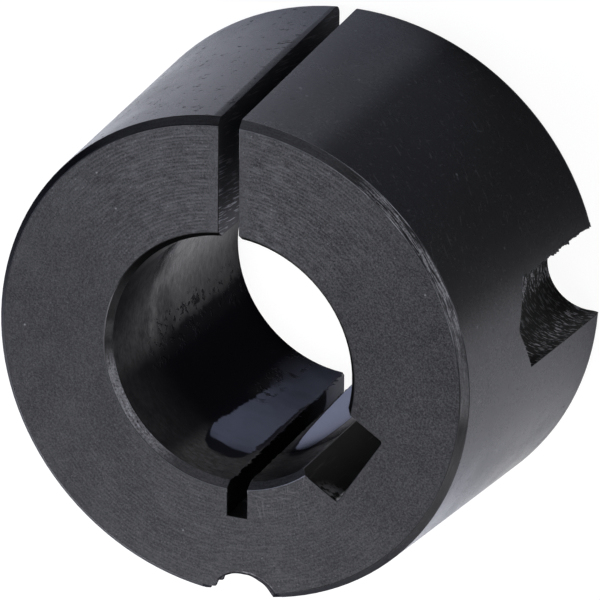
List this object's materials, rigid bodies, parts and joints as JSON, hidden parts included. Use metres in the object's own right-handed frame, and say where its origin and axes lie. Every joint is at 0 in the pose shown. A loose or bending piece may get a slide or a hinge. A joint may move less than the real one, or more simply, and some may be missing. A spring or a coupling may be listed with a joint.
{
  "type": "taper bush",
  "caption": "Split tapered bush with a keyed bore, a relief slot and half-round screw holes, which clamps a pulley or sprocket hub to a shaft.",
  "frame": {"origin": "centre of the large end face, on the bore axis", "axes": "+Z along the bore towards the small end, +X through the middle of the keyway"},
  "size_m": [0.0382, 0.0382, 0.0222],
  "materials": {
    "blackened_iron": "blackened, satin, with fine turning marks"
  },
  "bodies": {
    "root": {"taper_bush": "blackened_iron"}
  },
  "joints": []
}
